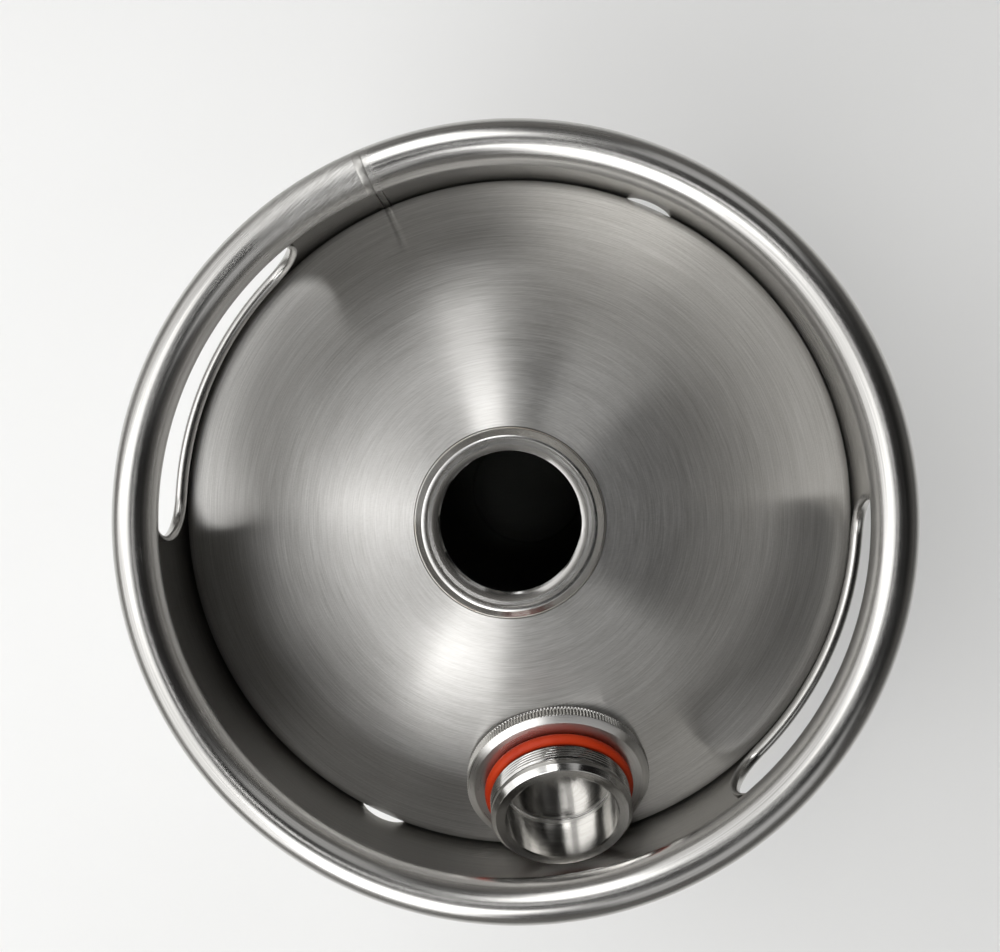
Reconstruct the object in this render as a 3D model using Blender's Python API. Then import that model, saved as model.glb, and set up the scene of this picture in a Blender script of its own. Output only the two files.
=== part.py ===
"""Slim ten litre stainless beer keg with its screw plug lying on the shoulder.

The origin is the centre of the keg on the floor, +Z is up and the two handholds face +X and -X.
Lengths in the constants are millimetres; the objects are built in metres.
Run with: blender --background --python part.py
"""

from math import acos, atan2, cos, degrees, pi, radians, sin, sqrt, tan

import bmesh
import bpy
from mathutils import Matrix, Vector

MM = 0.001
GAP = 0.3  # clearance between two pieces that touch

# Overall size
HEIGHT = 337.0
RIM_OUTER_R = 118.5
KEG_STEPS = 36  # facets round the large rings
SMALL_STEPS = 32  # facets round the neck and the plug

# Top chime: a rolled strip whose upper edge curls inwards into a round bead
CHIME_T = 1.5
CURL_OUTER_R = 6.65
SKIRT_INNER_R = 116.0
SKIRT_MID_R = SKIRT_INNER_R + CHIME_T / 2
CURL_MID_R = CURL_OUTER_R - CHIME_T / 2
CURL_CENTRE_R = RIM_OUTER_R - CURL_OUTER_R
CURL_END_DEG = 283.0
FLARE_HEIGHT = 5.5
RIM_MID_Z = HEIGHT - CURL_OUTER_R
TOP_SKIRT_BELOW_RIM = 70.0
FLAT_WIDTH = 1.6  # flat land on the bead where a second keg stands

# Handholds
HANDHOLD_HEIGHT = 27.0
HANDHOLD_STRAIGHT = 4 * 2 * pi * SKIRT_MID_R / KEG_STEPS  # the straight edges end on facet corners
HANDHOLD_LENGTH = HANDHOLD_STRAIGHT + HANDHOLD_HEIGHT
HANDHOLD_TOP_BELOW_RIM = 18.5
LIP_OUTER_R = 2.0
LIP_OVERLAP = 2.0  # how far the lip's root runs on into the strip
LIP_CUT = 2.4  # the strip is cut this far from the slot's clear edge, inside the lip's root
LIP_SKIN = 0.2  # how far the lip's buried edge lies inside the strip's faces

# Drain notches in the skirts
DRAIN_R = 8.5
TOP_DRAIN_BELOW_RIM = 59.0
BOTTOM_DRAIN_Z = 33.0

# Butt seam of each rolled strip
SEAM_DEG = 136.0
SEAM_WIDTH = 2.4

# Shell: two drawn halves that meet at a girth weld
SHELL_T = 1.2
SHELL_OUTER_R = SKIRT_INNER_R - GAP
CONE_DEG = 28.8
CONE_REF_R = 87.2
CONE_REF_BELOW_RIM = 36.0
CROWN_R = 128.0
KNUCKLE_R = 8.0
NECK_HOLE_R = 30.2
GIRTH_Z = 166.0
RIB_RISE = 1.5
RIB_HALF_WIDTH = 6.0
RIB_FROM_GIRTH = 50.0
BOTTOM_CROWN_R = 230.0
BOTTOM_KNUCKLE_R = 20.0
BOTTOM_KNUCKLE_Z = 62.0
SUMP_R = 32.0
SUMP_DEPTH = 2.0
SUMP_SLOPE = 2.5

# Bottom chime
BOTTOM_SKIRT_TOP_Z = 74.0

# Neck collar
NECK_TOP_BELOW_RIM = 6.0
NECK_OUTER_R = 28.6
NECK_CHAMFER = 2.2
NECK_LENGTH = 26.0
SEAL_BORE_R = 25.2
SEAL_BORE_DEPTH = 3.0
NECK_THREAD_R = 22.0
NECK_RELIEF_R = 23.6
NECK_THREAD_LENGTH = 6.5

# Screw plug, measured along its own axis from its closed face
PLUG_FLANGE_R = 30.0
PLUG_FLANGE_T = 5.0
PLUG_CHAMFER = 0.4
PLUG_BEVEL_WIDTH = 2.6  # wide bevel on the flange's edge towards the stem
PLUG_BEVEL_DEPTH = 1.1
PLUG_GROOVE_R = 20.35
PLUG_THREAD_R = 22.5
PLUG_THREAD_START = 9.3
PLUG_LENGTH = 18.6
PLUG_END_R = 21.0
PLUG_CUP_R = 17.8
PLUG_CUP_DEPTH = 15.3
RING_SECTION_R = 1.75
RING_MID_R = PLUG_GROOVE_R + GAP + RING_SECTION_R

# Where the plug lies
PLUG_AZIMUTH_DEG = -56.5
PLUG_RADIUS = 86.1

STEEL = (0.60, 0.60, 0.59, 1.0)
POLISHED = (0.68, 0.68, 0.67, 1.0)
WELD = (0.50, 0.49, 0.48, 1.0)
SILICONE = (0.62, 0.08, 0.02, 1.0)


def clear_scene():
    for obj in list(bpy.data.objects):
        bpy.data.objects.remove(obj)


def material(name, colour, roughness, metallic):
    made = bpy.data.materials.new(name)
    made.use_nodes = True
    shader = made.node_tree.nodes["Principled BSDF"]
    shader.inputs["Base Color"].default_value = colour
    shader.inputs["Roughness"].default_value = roughness
    shader.inputs["Metallic"].default_value = metallic
    return made


def arc(centre, radius, start_deg, end_deg, count):
    """Points (r, z) on an arc; angles run from +r towards +z."""
    points = []
    for i in range(count + 1):
        a = radians(start_deg + (end_deg - start_deg) * i / count)
        points.append((centre[0] + radius * cos(a), centre[1] + radius * sin(a)))
    return points


def offset_line(points, distance):
    """The open line moved sideways by distance, to its right where it runs."""
    moved = []
    for i, p in enumerate(points):
        before = points[max(i - 1, 0)]
        after = points[min(i + 1, len(points) - 1)]
        first = Vector((p[0] - before[0], p[1] - before[1]))
        second = Vector((after[0] - p[0], after[1] - p[1]))
        if first.length < 1e-9:
            first = second.copy()
        if second.length < 1e-9:
            second = first.copy()
        first.normalize()
        second.normalize()
        along = (first + second).normalized()
        stretch = 1.0 / max(along.dot(first), 0.5)
        moved.append((p[0] + along.y * distance * stretch, p[1] - along.x * distance * stretch))
    return moved


def sheet_outline(centreline, thickness):
    """Closed outline of a sheet of this thickness along a centreline."""
    outer = offset_line(centreline, thickness / 2)
    inner = offset_line(centreline, -thickness / 2)
    return outer + inner[::-1]


def signed_area(points):
    total = 0.0
    for (ax, az), (bx, bz) in zip(points, points[1:] + points[:1]):
        total += ax * bz - bx * az
    return total / 2


def add_object(name, mesh, finish):
    obj = bpy.data.objects.new(name, mesh)
    bpy.context.scene.collection.objects.link(obj)
    if finish is not None:
        mesh.materials.append(finish)
    return obj


def shade_round(mesh, sharp_deg=35.0):
    mesh.shade_smooth()
    mesh.set_sharp_from_angle(angle=radians(sharp_deg))


def turned(name, outline, finish, steps, closed=True, sweep_deg=360.0, start_deg=0.0):
    """Turns an outline of (r, z) points about Z with a Screw modifier.

    A closed outline makes a ring. An open one starts and ends on the axis and makes a solid."""
    points = list(outline)
    runs_down_outside = signed_area(points) < 0
    if not runs_down_outside:
        points.reverse()
    verts = [Vector((r * MM, 0.0, z * MM)) for r, z in points]
    turn = Matrix.Rotation(radians(start_deg), 4, "Z")
    verts = [turn @ v for v in verts]
    edges = [(i, i + 1) for i in range(len(verts) - 1)]
    if closed:
        edges.append((len(verts) - 1, 0))
    mesh = bpy.data.meshes.new(name)
    mesh.from_pydata(verts, edges, [])
    obj = add_object(name, mesh, finish)
    screw = obj.modifiers.new("turn", "SCREW")
    screw.axis = "Z"
    screw.angle = radians(sweep_deg)
    screw.steps = steps
    screw.render_steps = steps
    screw.use_merge_vertices = True
    screw.merge_threshold = 0.00001
    bake(obj)
    shade_round(obj.data)
    return obj


def bake(obj):
    """Replaces the object's mesh by what its modifiers make of it."""
    graph = bpy.context.evaluated_depsgraph_get()
    mesh = bpy.data.meshes.new_from_object(obj.evaluated_get(graph))
    finish = list(obj.data.materials)
    obj.modifiers.clear()
    obj.data = mesh
    mesh.materials.clear()
    for item in finish:
        mesh.materials.append(item)


def boolean(obj, other, operation):
    cut = obj.modifiers.new(operation.lower(), "BOOLEAN")
    cut.operation = operation
    cut.solver = "EXACT"
    cut.object = other
    bake(obj)
    bpy.data.objects.remove(other)


def merge_slivers(obj):
    """Joins points closer than a hundredth of a millimetre, which cuts leave along an edge."""
    bm = bmesh.new()
    bm.from_mesh(obj.data)
    bmesh.ops.remove_doubles(bm, verts=bm.verts, dist=0.00001)
    bmesh.ops.dissolve_degenerate(bm, edges=bm.edges, dist=0.00001)
    bm.to_mesh(obj.data)
    bm.free()


def block(name, low, high, turn_deg=0.0):
    """A box between two corners in millimetres, turned about Z, used as a cutter."""
    x0, y0, z0 = (v * MM for v in low)
    x1, y1, z1 = (v * MM for v in high)
    corners = [(x, y, z) for z in (z0, z1) for y in (y0, y1) for x in (x0, x1)]
    faces = [(0, 2, 3, 1), (4, 5, 7, 6), (0, 1, 5, 4), (1, 3, 7, 5), (3, 2, 6, 7), (2, 0, 4, 6)]
    mesh = bpy.data.meshes.new(name)
    turn = Matrix.Rotation(radians(turn_deg), 4, "Z")
    mesh.from_pydata([turn @ Vector(c) for c in corners], [], faces)
    return add_object(name, mesh, None)


def round_cutter(name, radius, z, azimuth_deg):
    """A short horizontal cylinder that drills the skirt at this azimuth."""
    sides = 16
    verts = []
    for r in (SKIRT_INNER_R - 12.0, RIM_OUTER_R + 12.0):
        for i in range(sides):
            a = 2 * pi * i / sides
            verts.append(Vector((r, radius * cos(a), z + radius * sin(a))) * MM)
    faces = [tuple(range(sides))[::-1], tuple(range(sides, 2 * sides))]
    for i in range(sides):
        j = (i + 1) % sides
        faces.append((i, j, sides + j, sides + i))
    mesh = bpy.data.meshes.new(name)
    turn = Matrix.Rotation(radians(azimuth_deg), 4, "Z")
    mesh.from_pydata([turn @ v for v in verts], [], faces)
    return add_object(name, mesh, None)


def chime_centreline(skirt_end_z, rim_mid_z):
    """Centreline of a chime whose bead is above the skirt: skirt, flare, then the inward curl."""
    line = [(SKIRT_MID_R, skirt_end_z), (SKIRT_MID_R, rim_mid_z - FLARE_HEIGHT)]
    curl_side_r = CURL_CENTRE_R + CURL_MID_R
    for i in range(1, 3):
        t = i / 3
        blend = t * t * (3 - 2 * t)
        r = SKIRT_MID_R + (curl_side_r - SKIRT_MID_R) * blend
        line.append((r, rim_mid_z - FLARE_HEIGHT * (1 - t)))
    line += arc((CURL_CENTRE_R, rim_mid_z), CURL_MID_R, 0.0, 90.0, 3)
    return line + arc((CURL_CENTRE_R, rim_mid_z), CURL_MID_R, 90.0, CURL_END_DEG, 6)[1:]


def flatten_crest(outline, crest_z, width):
    """Pulls the outline points nearest the crest onto one level land of this width."""
    half = width / 2
    made = []
    for r, z in outline:
        on_bead = abs(r - CURL_CENTRE_R) < 3.0 and abs(z - crest_z) < 0.9
        if on_bead and abs(r - CURL_CENTRE_R) < 0.2:
            made += [(CURL_CENTRE_R + half, crest_z), (CURL_CENTRE_R - half, crest_z)]
        else:
            made.append((r, z))
    return made


def chime_outline(skirt_end_z, rim_mid_z):
    outline = sheet_outline(chime_centreline(skirt_end_z, rim_mid_z), CHIME_T)
    return flatten_crest(outline, rim_mid_z + CURL_OUTER_R, FLAT_WIDTH)


def upside_down(outline, height):
    return [(r, height - z) for r, z in outline]


def seamed_ring(name, outline, finish, weld_finish):
    """A strip rolled into a ring with a butt gap. Adds the weld that fills the gap as well."""
    ring = turned(name, outline, finish, KEG_STEPS)
    half = SEAM_WIDTH / 2 + GAP
    slot = block("slot", (80.0, -half, -10.0), (140.0, half, HEIGHT + 10.0), SEAM_DEG)
    boolean(ring, slot, "DIFFERENCE")
    width_deg = degrees(SEAM_WIDTH / SKIRT_MID_R)
    weld = turned(name + "_seam_weld", outline, weld_finish, 1, sweep_deg=width_deg,
                  start_deg=SEAM_DEG - width_deg / 2)
    cap_ends(weld)
    return ring


def cap_ends(obj):
    """Closes the two ends of a part-turn sweep and turns all faces outwards."""
    bm = bmesh.new()
    bm.from_mesh(obj.data)
    bmesh.ops.remove_doubles(bm, verts=bm.verts, dist=1e-7)
    rims = [e for e in bm.edges if e.is_boundary]
    bmesh.ops.contextual_create(bm, geom=edge_loop(rims, 0))
    rims = [e for e in bm.edges if e.is_boundary]
    bmesh.ops.contextual_create(bm, geom=edge_loop(rims, 0))
    bmesh.ops.triangulate(bm, faces=[f for f in bm.faces if len(f.verts) > 4])
    bmesh.ops.recalc_face_normals(bm, faces=bm.faces)
    bm.to_mesh(obj.data)
    bm.free()


def edge_loop(edges, first):
    """The edges joined to edges[first], end to end."""
    left = set(edges)
    found = [edges[first]]
    left.discard(edges[first])
    grew = True
    while grew:
        grew = False
        ends = {v for e in found for v in e.verts}
        for e in list(left):
            if e.verts[0] in ends or e.verts[1] in ends:
                found.append(e)
                left.discard(e)
                grew = True
    return found


def stadium(length, height, end_steps, side_steps):
    """Points (s, z, ns, nz) round a slot with full-round ends, with the normal that leaves the slot."""
    r = height / 2
    half = length / 2 - r
    points = []
    for side in (1, -1):
        for i in range(end_steps):
            a = radians(-90 + 180 * i / end_steps)
            points.append((side * (half + r * cos(a)), side * r * sin(a), side * cos(a), side * sin(a)))
        for i in range(side_steps):
            t = i / side_steps
            points.append((side * (half - 2 * half * t), side * r, 0.0, float(side)))
    return points


def on_skirt(s, radius, z, azimuth_deg):
    """A point that lies s along the skirt from an azimuth, following the skirt's facets."""
    a = radians(azimuth_deg) + s / SKIRT_MID_R
    facet = 2 * pi / KEG_STEPS
    radius *= cos(facet / 2) / cos(a % facet - facet / 2)
    return Vector((radius * cos(a), radius * sin(a), z)) * MM


def handhold_cutter(azimuth_deg, middle_z, offset):
    """The slot as a closed block that passes through the skirt, widened by offset all round."""
    path = stadium(HANDHOLD_LENGTH, HANDHOLD_HEIGHT, 8, 4)
    radii = (SKIRT_INNER_R - 8.0, RIM_OUTER_R + 8.0)
    verts = []
    for radius in radii:
        for s, z, ns, nz in path:
            verts.append(on_skirt(s + ns * offset, radius, middle_z + z + nz * offset, azimuth_deg))
    return loft("handhold_cutter", verts, len(path), 2, closed_rows=False)


def lip_section():
    """Closed section (n, radius) of the rolled lip: n runs away from the slot along the skirt."""
    mid = LIP_OUTER_R - CHIME_T / 2
    centre_radius = SKIRT_INNER_R + CHIME_T - LIP_OUTER_R
    outer, inner = [], []
    thin = CHIME_T / 2 - LIP_SKIN
    outer.append((LIP_OUTER_R + LIP_OVERLAP, centre_radius + mid + thin))
    inner.append((LIP_OUTER_R + LIP_OVERLAP, centre_radius + mid - thin))
    for i in range(6):
        a = radians(90 + 180 * i / 5)
        outer.append((LIP_OUTER_R + LIP_OUTER_R * cos(a), centre_radius + LIP_OUTER_R * sin(a)))
        r = LIP_OUTER_R - CHIME_T
        inner.append((LIP_OUTER_R + r * cos(a), centre_radius + r * sin(a)))
    return outer + inner[::-1]


def loft(name, verts, row_length, rows, closed_rows):
    """Skin over rows of points, each row a loop. Open rows get end caps; closed rows join up."""
    faces = []
    last = rows if closed_rows else rows - 1
    for j in range(last):
        k = (j + 1) % rows
        for i in range(row_length):
            n = (i + 1) % row_length
            faces.append((j * row_length + i, j * row_length + n, k * row_length + n, k * row_length + i))
    if not closed_rows:
        faces.append(tuple(range(row_length))[::-1])
        faces.append(tuple(range((rows - 1) * row_length, rows * row_length)))
    mesh = bpy.data.meshes.new(name)
    mesh.from_pydata(verts, [], faces)
    bm = bmesh.new()
    bm.from_mesh(mesh)
    bmesh.ops.recalc_face_normals(bm, faces=bm.faces)
    bmesh.ops.triangulate(bm, faces=[f for f in bm.faces if len(f.verts) > 4])
    bm.to_mesh(mesh)
    bm.free()
    return add_object(name, mesh, None)


def handhold_lip(azimuth_deg, middle_z):
    path = stadium(HANDHOLD_LENGTH, HANDHOLD_HEIGHT, 8, 4)
    section = lip_section()
    verts = []
    for s, z, ns, nz in path:
        for n, radius in section:
            verts.append(on_skirt(s + ns * n, radius, middle_z + z + nz * n, azimuth_deg))
    return loft("handhold_lip", verts, len(section), len(path), closed_rows=True)


def make_top_chime(steel, weld):
    outline = chime_outline(RIM_MID_Z - TOP_SKIRT_BELOW_RIM, RIM_MID_Z)
    chime = seamed_ring("top_chime", outline, steel, weld)
    middle_z = RIM_MID_Z - HANDHOLD_TOP_BELOW_RIM - HANDHOLD_HEIGHT / 2
    for azimuth_deg in (0.0, 180.0):
        boolean(chime, handhold_cutter(azimuth_deg, middle_z, LIP_CUT), "DIFFERENCE")
    for azimuth_deg in (90.0, 270.0):
        cutter = round_cutter("drain", DRAIN_R, RIM_MID_Z - TOP_DRAIN_BELOW_RIM, azimuth_deg)
        boolean(chime, cutter, "DIFFERENCE")
    for azimuth_deg in (0.0, 180.0):
        boolean(chime, handhold_lip(azimuth_deg, middle_z), "UNION")
    merge_slivers(chime)
    shade_round(chime.data)


def make_bottom_chime(steel, weld):
    top_version = chime_outline(HEIGHT - BOTTOM_SKIRT_TOP_Z, RIM_MID_Z)
    chime = seamed_ring("bottom_chime", upside_down(top_version, HEIGHT), steel, weld)
    for azimuth_deg in (0.0, 90.0, 180.0, 270.0):
        boolean(chime, round_cutter("drain", DRAIN_R, BOTTOM_DRAIN_Z, azimuth_deg), "DIFFERENCE")
    merge_slivers(chime)
    shade_round(chime.data)


def cone_z(r):
    """Height of the shoulder's outer face on its conical part."""
    return RIM_MID_Z - CONE_REF_BELOW_RIM - (r - CONE_REF_R) * tan(radians(CONE_DEG))


def shoulder_centreline():
    """Centreline of the top head from the neck hole to the top of the cylinder."""
    slope = radians(CONE_DEG)
    outer_join_r = CROWN_R * sin(slope)
    crown_centre_z = cone_z(outer_join_r) - CROWN_R * cos(slope)
    mid_crown = CROWN_R - SHELL_T / 2
    hole_deg = degrees(acos(NECK_HOLE_R / mid_crown))
    line = arc((0.0, crown_centre_z), mid_crown, hole_deg, 90 - CONE_DEG, 4)
    knuckle_mid = KNUCKLE_R - SHELL_T / 2
    knuckle_centre_r = SHELL_OUTER_R - KNUCKLE_R
    touch_r = knuckle_centre_r + KNUCKLE_R * sin(slope)
    knuckle_centre_z = cone_z(touch_r) - KNUCKLE_R * cos(slope)
    line += arc((knuckle_centre_r, knuckle_centre_z), knuckle_mid, 90 - CONE_DEG, 0.0, 4)
    return line


def rib_points(z, downwards):
    """Centreline points of the stiffening rib round the cylinder."""
    mid_r = SHELL_OUTER_R - SHELL_T / 2
    points = []
    for i in range(5):
        t = i / 4
        rise = RIB_RISE * sin(pi * t) ** 2
        points.append((mid_r + rise, z - RIB_HALF_WIDTH + 2 * RIB_HALF_WIDTH * t))
    return points[::-1] if downwards else points


def make_shells(steel, weld):
    mid_r = SHELL_OUTER_R - SHELL_T / 2
    half_gap = SEAM_WIDTH / 2 + GAP
    upper = shoulder_centreline()
    upper += rib_points(GIRTH_Z + RIB_FROM_GIRTH, True)
    upper.append((mid_r, GIRTH_Z + half_gap))
    turned("upper_shell", sheet_outline(upper, SHELL_T), steel, KEG_STEPS)

    lower = [(mid_r, GIRTH_Z - half_gap)]
    lower += rib_points(GIRTH_Z - RIB_FROM_GIRTH, True)
    lower += bottom_centreline()
    outer = offset_line(lower, -SHELL_T / 2)
    inner = offset_line(lower, SHELL_T / 2)
    outer[-1] = (0.0, outer[-1][1])
    inner[-1] = (0.0, inner[-1][1])
    turned("lower_shell", outer[::-1] + inner, steel, KEG_STEPS, closed=False)

    bead = [(SHELL_OUTER_R - SHELL_T - 0.3, GIRTH_Z - 0.8), (SHELL_OUTER_R, GIRTH_Z - SEAM_WIDTH / 2),
            (SHELL_OUTER_R + 0.4, GIRTH_Z), (SHELL_OUTER_R, GIRTH_Z + SEAM_WIDTH / 2),
            (SHELL_OUTER_R - SHELL_T - 0.3, GIRTH_Z + 0.8)]
    turned("girth_weld", bead, weld, KEG_STEPS)


def bottom_centreline():
    """Centreline of the bottom head, from the cylinder down to the sump and in to the axis."""
    mid_r = SHELL_OUTER_R - SHELL_T / 2
    knuckle_mid = BOTTOM_KNUCKLE_R - SHELL_T / 2
    centre_r = mid_r - knuckle_mid
    crown_mid = BOTTOM_CROWN_R - SHELL_T / 2
    sine = centre_r / (crown_mid - knuckle_mid)
    touch_deg = degrees(atan2(-sqrt(1 - sine * sine), sine))
    line = arc((centre_r, BOTTOM_KNUCKLE_Z), knuckle_mid, 0.0, touch_deg, 5)
    crown_centre_z = BOTTOM_KNUCKLE_Z + (crown_mid - knuckle_mid) * sqrt(1 - sine * sine)
    sump_edge_deg = -degrees(acos((SUMP_R + SUMP_SLOPE) / crown_mid))
    line += arc((0.0, crown_centre_z), crown_mid, touch_deg, sump_edge_deg, 4)[1:]
    sump_z = crown_centre_z - sqrt(crown_mid**2 - SUMP_R**2) - SUMP_DEPTH
    line += [(SUMP_R, sump_z), (0.0, sump_z)]
    return line


def make_neck(steel, weld):
    top = RIM_MID_Z - NECK_TOP_BELOW_RIM
    thread_top = top - SEAL_BORE_DEPTH - (SEAL_BORE_R - NECK_THREAD_R) / 2
    thread_end = thread_top - NECK_THREAD_LENGTH
    outline = [
        (SEAL_BORE_R, top),
        (NECK_OUTER_R - NECK_CHAMFER, top),
        (NECK_OUTER_R, top - NECK_CHAMFER),
        (NECK_OUTER_R, top - NECK_LENGTH + 1.0),
        (NECK_OUTER_R - 1.0, top - NECK_LENGTH),
        (NECK_RELIEF_R, top - NECK_LENGTH),
        (NECK_RELIEF_R, thread_end - (NECK_RELIEF_R - NECK_THREAD_R)),
        (NECK_THREAD_R, thread_end),
        (NECK_THREAD_R, thread_top),
        (SEAL_BORE_R, top - SEAL_BORE_DEPTH),
    ]
    turned("neck_collar", outline, steel, SMALL_STEPS)

    slope = radians(CONE_DEG)
    outer_join_r = CROWN_R * sin(slope)
    crown_centre_z = cone_z(outer_join_r) - CROWN_R * cos(slope)
    bead_in = NECK_OUTER_R + GAP
    bead_out = NECK_HOLE_R * cos(pi / KEG_STEPS) - GAP
    z_in = crown_centre_z + sqrt(CROWN_R**2 - bead_in**2)
    bead = [(bead_in, z_in + 0.3), (bead_out, z_in), (bead_out, z_in - SHELL_T), (bead_in, z_in - SHELL_T)]
    turned("neck_weld", bead, weld, SMALL_STEPS)


def make_chime_welds(weld):
    """Fillet beads where each skirt's edge meets the shell's cylinder."""
    toe = 1.6
    for name, edge_z, way in (
        ("top_chime_weld", RIM_MID_Z - TOP_SKIRT_BELOW_RIM, -1),
        ("bottom_chime_weld", BOTTOM_SKIRT_TOP_Z, 1),
    ):
        near = edge_z + way * GAP
        inner_r = SHELL_OUTER_R + GAP
        bead = [(inner_r, near), (inner_r + 1.3, near), (inner_r + 1.0, near + way * toe / 2),
                (inner_r, near + way * toe)]
        turned(name, bead, weld, KEG_STEPS)


def plug_frame():
    """Matrix that carries the plug from its own axis onto the shoulder, where it lies on the cone."""
    lean = radians(CONE_DEG)
    place = Vector((PLUG_RADIUS, 0.0, cone_z(PLUG_RADIUS)))
    place += Vector((sin(lean), 0.0, cos(lean))) * GAP
    turn = Matrix.Rotation(radians(PLUG_AZIMUTH_DEG), 4, "Z")
    return turn @ Matrix.Translation(place * MM) @ Matrix.Rotation(lean, 4, "Y")


def make_plug(polished, silicone):
    floor = PLUG_LENGTH - PLUG_CUP_DEPTH
    groove_end = PLUG_THREAD_START - 0.2
    end_chamfer = PLUG_THREAD_R - PLUG_END_R
    outline = [
        (0.0, 0.0),
        (PLUG_FLANGE_R - PLUG_CHAMFER, 0.0),
        (PLUG_FLANGE_R, PLUG_CHAMFER),
        (PLUG_FLANGE_R, PLUG_FLANGE_T - PLUG_BEVEL_DEPTH),
        (PLUG_FLANGE_R - PLUG_BEVEL_WIDTH, PLUG_FLANGE_T),
        (PLUG_GROOVE_R, PLUG_FLANGE_T),
        (PLUG_GROOVE_R, groove_end),
        (PLUG_THREAD_R, groove_end + 0.2),
        (PLUG_THREAD_R, PLUG_LENGTH - end_chamfer),
        (PLUG_END_R, PLUG_LENGTH),
        (PLUG_CUP_R, PLUG_LENGTH),
        (PLUG_CUP_R, floor),
        (0.0, floor),
    ]
    where = plug_frame()
    plug = turned("plug_body", outline, polished, SMALL_STEPS, closed=False)
    plug.matrix_world = where

    middle_z = PLUG_FLANGE_T + GAP + RING_SECTION_R
    section = arc((RING_MID_R, middle_z), RING_SECTION_R, 0.0, 315.0, 7)
    ring = turned("plug_o_ring", section, silicone, SMALL_STEPS)
    ring.matrix_world = where


def main():
    clear_scene()
    steel = material("brushed_steel", STEEL, 0.32, 1.0)
    polished = material("turned_steel", POLISHED, 0.16, 1.0)
    weld = material("weld_steel", WELD, 0.42, 1.0)
    silicone = material("red_silicone", SILICONE, 0.45, 0.0)
    make_shells(steel, weld)
    make_neck(polished, weld)
    make_top_chime(steel, weld)
    make_bottom_chime(steel, weld)
    make_chime_welds(weld)
    make_plug(polished, silicone)


main()
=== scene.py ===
"""Finished look of the slim ten litre stainless beer keg with its screw plug on the shoulder.

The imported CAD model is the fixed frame. Every node gets a finer piece of the same dimensions.
Lengths in the constants are millimetres; the meshes are built in metres.
"""

from math import acos, atan2, ceil, cos, degrees, hypot, pi, radians, sin, sqrt, tan

import bmesh
import bpy
from mathutils import Matrix, Vector


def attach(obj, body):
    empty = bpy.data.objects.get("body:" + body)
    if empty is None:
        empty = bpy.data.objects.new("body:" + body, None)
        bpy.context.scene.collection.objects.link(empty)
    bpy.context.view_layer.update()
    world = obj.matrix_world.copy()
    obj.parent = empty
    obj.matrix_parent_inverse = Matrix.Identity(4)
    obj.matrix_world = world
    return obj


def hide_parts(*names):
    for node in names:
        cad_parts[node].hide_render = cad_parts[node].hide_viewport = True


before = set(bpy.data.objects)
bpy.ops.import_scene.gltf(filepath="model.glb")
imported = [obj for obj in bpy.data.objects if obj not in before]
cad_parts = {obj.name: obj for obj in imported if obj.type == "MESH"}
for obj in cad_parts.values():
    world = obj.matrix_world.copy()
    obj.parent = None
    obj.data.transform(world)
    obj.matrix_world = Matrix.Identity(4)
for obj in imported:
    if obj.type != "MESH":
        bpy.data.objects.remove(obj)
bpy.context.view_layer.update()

MM = 0.001
GAP = 0.3  # between solids that touch or are welded

# Overall size
HEIGHT = 337.0
RIM_OUTER_R = 118.5
CURL_OUTER_R = 6.65
CHIME_T = 1.5
SKIRT_MID_R = 116.75
CURL_MID_R = CURL_OUTER_R - CHIME_T / 2 - 0.05
CURL_CENTRE_R = RIM_OUTER_R - CURL_OUTER_R
CURL_END_DEG = 283.0
FLARE_HEIGHT = 5.5
RIM_MID_Z = HEIGHT - CURL_OUTER_R
TOP_SKIRT_LENGTH = 70.0
BOTTOM_SKIRT_LENGTH = 74.0 - CURL_OUTER_R

# Handholds and drain notches, heights measured down from the middle of the rolled rim
HANDHOLD_LENGTH = 108.5
HANDHOLD_HEIGHT = 27.0
HANDHOLD_MIDDLE = 32.0
LIP_OUTER_R = 2.0
LIP_START_DEG = 90.0
LIP_TURN_DEG = 185.0
LIP_STEPS = 12
DRAIN_R = 8.5
TOP_DRAIN_BELOW = 59.0
BOTTOM_DRAIN_BELOW = 33.0 - CURL_OUTER_R

# Butt seam of the rolled strips and the patch that is sanded beside it
SEAM_DEG = 136.0
SEAM_HALF = 1.35
SANDED_FROM_DEG = SEAM_DEG - 1.5
SANDED_TO_DEG = SEAM_DEG + 19.0
SANDING_STROKE_DEG = SEAM_DEG - 67.0

# Shell
SHELL_T = 1.2
SHELL_OUTER_R = 115.7
CONE_DEG = 28.8
CONE_REF_R = 87.2
CONE_REF_Z = RIM_MID_Z - 36.0
CROWN_R = 128.0
KNUCKLE_R = 8.0
NECK_HOLE_R = 29.2
GIRTH_Z = 166.0
RIB_RISE = 1.5
RIB_HALF_WIDTH = 6.0
RIB_FROM_GIRTH = 50.0
BOTTOM_CROWN_R = 230.0
BOTTOM_KNUCKLE_R = 20.0
BOTTOM_KNUCKLE_Z = 62.0
SUMP_R = 32.0
SUMP_DEPTH = 2.0
SUMP_SLOPE = 2.5

# Neck
NECK_TOP_Z = RIM_MID_Z - 6.0
NECK_OUTER_R = 28.6
NECK_CHAMFER = 2.2
NECK_LENGTH = 26.0
SEAL_BORE_R = 25.2
SEAL_BORE_DEPTH = 3.0
NECK_THREAD_R = 22.0
NECK_RELIEF_R = 23.6
NECK_THREAD_LENGTH = 6.5
THREAD_PITCH = 1.0
THREAD_DEPTH = 0.6

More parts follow.
